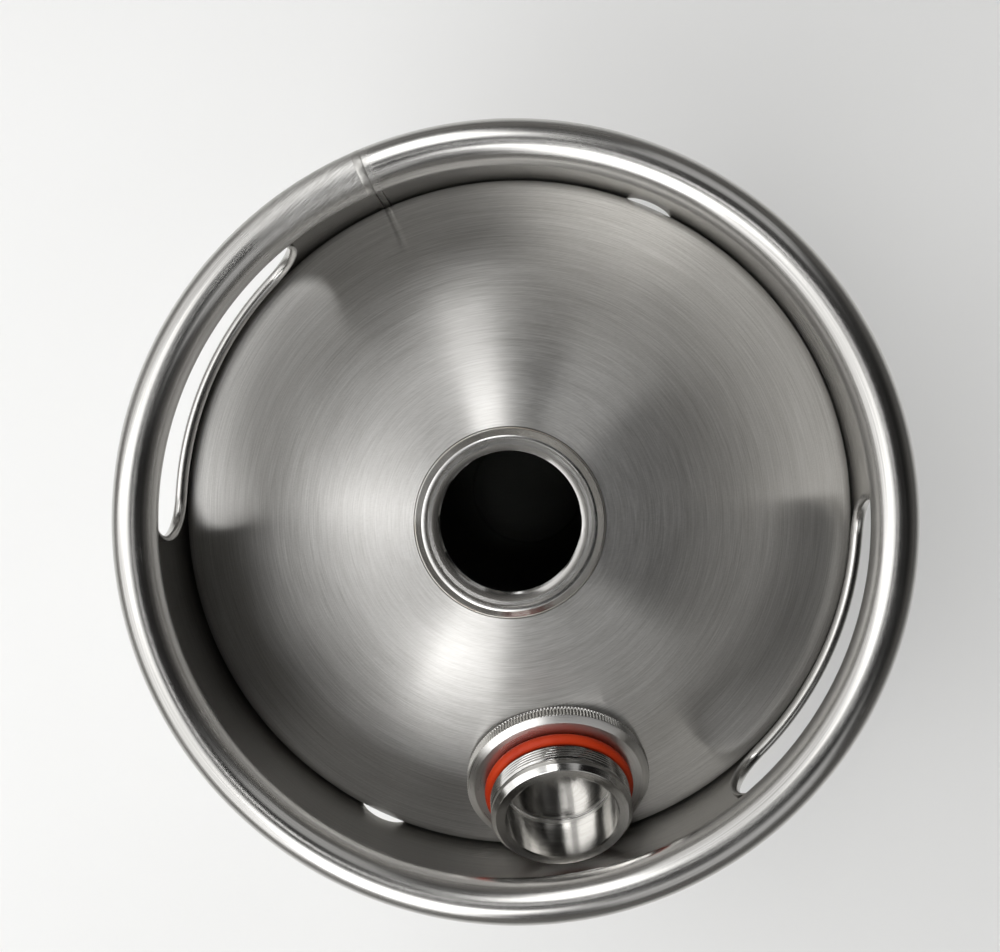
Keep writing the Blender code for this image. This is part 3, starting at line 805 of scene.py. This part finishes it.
def make_shells(sheet, weld):
    mid_r = SHELL_OUTER_R - SHELL_T / 2
    upper = shoulder_centreline() + rib_points(GIRTH_Z + RIB_FROM_GIRTH)
    upper = split_long(upper + [(mid_r, GIRTH_Z + GIRTH_HALF_GAP)], 10.0)
    outline = offset_line(upper, -SHELL_T / 2) + offset_line(upper, SHELL_T / 2)[::-1]
    verts, faces = lathe(outline, RING_COLUMNS, True)
    finish_mesh("upper_shell_fine", verts, faces, "keg", "upper_shell", sheet)

    lower = [(mid_r, GIRTH_Z - GIRTH_HALF_GAP)] + rib_points(GIRTH_Z - RIB_FROM_GIRTH)
    lower = split_long(lower + bottom_centreline(), 10.0)
    outer = offset_line(lower, -SHELL_T / 2)
    inner = offset_line(lower, SHELL_T / 2)
    outer[-1] = (0.0, outer[-1][1])
    inner[-1] = (0.0, inner[-1][1])
    verts, faces = lathe(outer[::-1] + inner, RING_COLUMNS, False)
    finish_mesh("lower_shell_fine", verts, faces, "keg", "lower_shell", sheet)

    rows = []
    for i in range(13):
        t = i / 12 * 2 - 1
        rise = GIRTH_BEAD_RISE * (1 - t * t)
        rows.append((SHELL_OUTER_R + rise, GIRTH_Z + GIRTH_BEAD_HALF_WIDTH * t, "ripples"))
    inner_r = SHELL_OUTER_R - SHELL_T - 0.3
    rows += [(inner_r, GIRTH_Z + 0.8), (inner_r, GIRTH_Z - 0.8)]

    def ripples(r, z, turn):
        lift = (r - SHELL_OUTER_R) / GIRTH_BEAD_RISE
        bow = 0.35 * ((z - GIRTH_Z) / GIRTH_BEAD_HALF_WIDTH) ** 2
        return r - 0.07 * lift * ((turn * GIRTH_RIPPLES + bow) % 1.0)

    verts, faces = lathe(rows, GIRTH_RIPPLES * COLUMNS_PER_RIPPLE, True, ripples)
    finish_mesh("girth_weld_fine", verts, faces, "keg", "girth_weld", weld)


def make_chime_welds(weld):
    inner_r = SHELL_OUTER_R + GAP
    welds = [("top_chime_weld", RIM_MID_Z - TOP_SKIRT_LENGTH, -1),
             ("bottom_chime_weld", BOTTOM_SKIRT_LENGTH + CURL_OUTER_R, 1)]
    for name, edge_z, way in welds:
        near = edge_z + way * GAP
        rows = []
        for i in range(9):
            t = i / 8
            rise = FILLET_RISE * sqrt(max(0.0, 1 - t * t))
            rows.append((inner_r + rise, near + way * FILLET_LENGTH * t, "ripples"))
        rows.append((inner_r, near))

        def ripples(r, z, turn, near=near):
            lift = max(0.0, (r - inner_r) / FILLET_RISE)
            return r - 0.12 * lift * ((turn * FILLET_RIPPLES + 0.2 * abs(z - near)) % 1.0)

        verts, faces = lathe(rows, FILLET_RIPPLES * COLUMNS_PER_RIPPLE, True, ripples)
        finish_mesh(name + "_fine", verts, faces, "keg", name, weld)


# ---------------------------------------------------------------- neck

def tooth(phase):
    """Thread or knurl section from 0 at the root to 1 at the crest."""
    rise = 1 - abs(2 * (phase % 1.0) - 1)
    return min(1.0, max(0.0, (rise - 0.12) / 0.72))


def fade(z, low, high, run):
    return min(1.0, max(0.0, (z - low) / run), max(0.0, (high - z) / run))


def make_neck(turned, weld):
    top = NECK_TOP_Z
    seat = top - SEAL_BORE_DEPTH
    thread_top = seat - (SEAL_BORE_R - NECK_THREAD_R) / 2
    thread_end = thread_top - NECK_THREAD_LENGTH
    bottom = top - NECK_LENGTH
    chamfer_r = NECK_OUTER_R - NECK_CHAMFER
    chamfer_z = top - NECK_CHAMFER
    rows = [(SEAL_BORE_R, top - 0.35), (SEAL_BORE_R + 0.3, top), (chamfer_r - 0.12, top),
            (chamfer_r + 0.15, top - 0.08), (NECK_OUTER_R - 0.1, chamfer_z + 0.12),
            (NECK_OUTER_R, chamfer_z - 0.25)]
    rows += split_long([(NECK_OUTER_R, chamfer_z - 0.35), (NECK_OUTER_R, bottom + 1.0)], 4.0)
    rows += [(NECK_OUTER_R - 1.0, bottom), (NECK_RELIEF_R, bottom),
             (NECK_RELIEF_R, thread_end - (NECK_RELIEF_R - NECK_THREAD_R)),
             (NECK_THREAD_R, thread_end)]
    steps = int(NECK_THREAD_LENGTH / THREAD_PITCH * NECK_ROWS_PER_PITCH)
    for i in range(1, steps):
        rows.append((NECK_THREAD_R, thread_end + NECK_THREAD_LENGTH * i / steps, "thread"))
    rows += [(NECK_THREAD_R, thread_top), (NECK_THREAD_R + 1.2, thread_top + 0.8),
             (SEAL_BORE_R - 1.3, seat - 0.06), (SEAL_BORE_R - 0.3, seat), (SEAL_BORE_R, seat + 0.3)]

    def thread(r, z, turn):
        cut = fade(z, thread_end, thread_top, THREAD_PITCH * 0.8)
        return r + THREAD_DEPTH * cut * (1 - tooth(z / THREAD_PITCH - turn))

    verts, faces = lathe(rows, TURNED_COLUMNS, True, thread)
    finish_mesh("neck_collar_fine", verts, faces, "keg", "neck_collar", turned,
                sharp_deg=24.0)

    z = crown_centre_z() + sqrt(CROWN_R**2 - NECK_WELD_SEAT_R**2)
    inner, outer = NECK_WELD_INNER_R, NECK_WELD_OUTER_R
    rows = [(inner, z + 0.42), (inner + 0.23, z + 0.36), (outer - 0.02, z + 0.1),
            (outer, z - SHELL_T), (inner, z - SHELL_T)]
    verts, faces = lathe(rows, RING_COLUMNS, True)
    finish_mesh("neck_weld_fine", verts, faces, "keg", "neck_weld", weld)


# ---------------------------------------------------------------- plug

def plug_place():
    """Where the plug lies: on the cone with its axis square to the slope, a gap above it."""
    lean = radians(CONE_DEG)
    away = Vector((sin(lean), 0.0, cos(lean)))
    place = Vector((PLUG_RADIUS, 0.0, cone_z(PLUG_RADIUS))) + away * GAP
    turn = Matrix.Rotation(radians(PLUG_AZIMUTH_DEG), 4, "Z")
    return turn @ Matrix.Translation(place * MM) @ Matrix.Rotation(lean, 4, "Y")


def make_plug(turned, rubber):
    face = PLUG_FLANGE_T
    rim = PLUG_FLANGE_R
    bevel_r = PLUG_FLANGE_R - PLUG_BEVEL_WIDTH
    knurled = [(rim - 0.55, 0.02), (rim - 0.2, 0.22), (rim - 0.08, 0.5, "knurl")]
    knurled += [(rim, 0.62 + 3.05 * i / 6, "knurl") for i in range(7)]
    knurled += [(rim - 0.08, 3.8, "knurl"), (rim - 0.25, KNURL_TO),
                (bevel_r + 0.25, face - 0.07), (bevel_r, face)]

    def knurl(r, z, turn):
        cut = fade(z, KNURL_FROM, KNURL_TO, 0.3)
        return r - KNURL_DEPTH * cut * (1 - tooth(turn * KNURL_TEETH))

    band = lathe(knurled, KNURL_TEETH * COLUMNS_PER_TOOTH, False, knurl)

    rows = [(0.0, 0.0), (8.0, 0.0), (16.0, 0.0), (24.0, 0.0), (rim - 0.55, 0.02)]
    closed_face = lathe(rows, TURNED_COLUMNS, False)

    end = PLUG_LENGTH
    floor = PLUG_LENGTH - PLUG_CUP_DEPTH
    low, high = PLUG_THREAD_FROM, PLUG_THREAD_TO
    rows = [(bevel_r, face), (26.0, face), (PLUG_GROOVE_R + 0.2, face),
            (PLUG_GROOVE_R, face + 0.2), (PLUG_GROOVE_R, PLUG_GROOVE_END),
            (PLUG_GROOVE_R + 0.3, PLUG_GROOVE_END + 0.2),
            (PLUG_THREAD_R - THREAD_DEPTH, PLUG_GROOVE_END + 0.4)]
    steps = int((high - low) / THREAD_PITCH * PLUG_ROWS_PER_PITCH)
    for i in range(1, steps):
        rows.append((PLUG_THREAD_R, low + (high - low) * i / steps, "thread"))
    rows += [(PLUG_THREAD_R - 0.9, high + 0.05), (PLUG_THREAD_R - 0.9, high + 0.45),
             (PLUG_THREAD_R - 0.25, high + 0.75), (PLUG_THREAD_R - 0.1, high + 1.0),
             (PLUG_THREAD_R - 0.1, end - 1.6), (PLUG_THREAD_R - 0.22, end - 1.45),
             (PLUG_END_R + 0.12, end - 0.08), (PLUG_END_R - 0.05, end), (PLUG_CUP_R + 0.4, end),
             (PLUG_CUP_R, end - 0.35)]
    rows += split_long([(PLUG_CUP_R, end - 0.6), (PLUG_CUP_R, floor + 0.6)], 1.5)
    rows += arc((PLUG_CUP_R - 0.4, floor + 0.4), 0.4, 0.0, -90.0, 4)
    rows += [(12.0, floor), (6.0, floor), (0.0, floor)]

    def thread(r, z, turn):
        cut = 1 - tooth(z / THREAD_PITCH - turn)
        return r - THREAD_DEPTH * max(cut, 1 - fade(z, low, high, THREAD_PITCH * 0.35))

    body = lathe(rows, TURNED_COLUMNS, False, thread)
    verts, faces = joined(closed_face, band, body)
    place = plug_place()
    finish_mesh("plug_body_fine", verts, faces, "plug", "plug_body", turned,
                sharp_deg=24.0, place=place)

    section = arc((RING_MID_R, RING_MID_Z), RING_SECTION_R, 0.0, 345.0, 23)
    verts, faces = lathe(section, TURNED_COLUMNS, True)
    finish_mesh("plug_o_ring_fine", verts, faces, "seal", "plug_o_ring", rubber,
                sharp_deg=60.0, place=place)


# ---------------------------------------------------------------- stage

def pale_floor():
    """A pale floor that dims a little far from the keg."""
    made, tree, shader = shader_nodes("pale_floor", (0.93, 0.93, 0.92, 1), 0.6, 0.0)
    space = ring_space(tree)
    tone = spread(tree, blotches(tree, space, scale=2.5, detail=3.0), 0.3, 0.7, 0.0, 1.0)
    dim = tree.nodes.new("ShaderNodeVectorMath")
    dim.operation = "SCALE"
    tree.links.new(mixed(tree, (0.92, 0.92, 0.91, 1), (0.95, 0.95, 0.94, 1), tone), dim.inputs[0])
    tree.links.new(spread(tree, space["radius"], 0.5, 1.6, 1.0, 0.55), dim.inputs["Scale"])
    tree.links.new(dim.outputs[0], shader.inputs["Base Color"])
    mesh = bpy.data.meshes.new("floor")
    half = FLOOR_HALF
    corners = [(-half, -half, 0), (half, -half, 0), (half, half, 0), (-half, half, 0)]
    mesh.from_pydata(corners, [], [(0, 1, 2, 3)])
    mesh.materials.append(made)
    floor = bpy.data.objects.new("floor", mesh)
    bpy.context.scene.collection.objects.link(floor)


def softbox(name, azimuth_deg, elevation_deg, distance, width, height, radiance):
    """A soft rectangular light that faces the keg's rim."""
    data = bpy.data.lights.new(name, "AREA")
    data.shape = "RECTANGLE"
    data.size = width
    data.size_y = height
    data.energy = radiance * pi * width * height
    light = bpy.data.objects.new(name, data)
    bpy.context.scene.collection.objects.link(light)
    a, e = radians(azimuth_deg + VIEW_TURN), radians(elevation_deg)
    target = Vector(LIGHT_TARGET)
    light.location = target + Vector((cos(a) * cos(e), sin(a) * cos(e), sin(e))) * distance
    light.rotation_euler = (target - light.location).to_track_quat("-Z", "Y").to_euler()
    return light


def make_room():
    """A room that is pale at the horizon, dim overhead and darker away from the windows."""
    world = bpy.data.worlds.new("room")
    world.use_nodes = True
    tree = world.node_tree
    background = tree.nodes["Background"]
    background.inputs["Color"].default_value = (1.0, 0.965, 0.92, 1)
    coords = tree.nodes.new("ShaderNodeTexCoord")
    split = tree.nodes.new("ShaderNodeSeparateXYZ")
    tree.links.new(coords.outputs["Generated"], split.inputs[0])
    window_side = radians(180.0 + VIEW_TURN)
    towards = math_node(tree, "MULTIPLY", split.outputs[0], cos(window_side))
    towards = math_node(tree, "MULTIPLY_ADD", split.outputs[1], sin(window_side), towards)
    height = spread(tree, split.outputs[2], 0.15, 0.6, 0.26, 0.015)
    strength = math_node(tree, "MULTIPLY", height, spread(tree, towards, -1.0, 1.0, 0.4, 1.0))
    tree.links.new(strength, background.inputs["Strength"])
    bpy.context.scene.world = world


def make_lights():
    for light in LIGHTS:
        softbox(*light)
    wash = softbox(*FLOOR_WASH)
    wash.visible_glossy = False


def make_camera():
    data = bpy.data.cameras.new("camera")
    data.lens = CAMERA_LENS
    data.sensor_width = 36.0
    data.clip_start = 0.01
    camera = bpy.data.objects.new("camera", data)
    bpy.context.scene.collection.objects.link(camera)
    turn = Matrix.Rotation(radians(VIEW_TURN), 4, "Z")
    lean_y = Matrix.Rotation(radians(CAMERA_LEAN_Y), 4, "Y")
    lean_x = Matrix.Rotation(radians(CAMERA_LEAN_X), 4, "X")
    camera.matrix_world = turn @ Matrix.Translation(CAMERA_PLACE) @ (lean_y @ lean_x)
    bpy.context.scene.camera = camera


def main():
    sheet = brushed_sheet()
    strip = rolled_strip()
    turned_neck = turned_steel("turned_neck", NECK_TOP_Z, NECK_CHAMFER, 0.05)
    turned_plug = turned_steel("turned_plug", PLUG_FLANGE_T, PLUG_BEVEL_DEPTH, 0.14)
    weld = weld_bead("weld_bead", (0.46, 0.42, 0.36, 1))
    make_chimes(strip, weld_bead("ground_seam", steel(0.54)))
    make_shells(sheet, weld)
    make_chime_welds(weld)
    make_neck(turned_neck, weld)
    make_plug(turned_plug, silicone())
    pale_floor()
    make_room()
    make_lights()
    make_camera()
    bpy.context.scene.view_settings.view_transform = "Standard"


main()
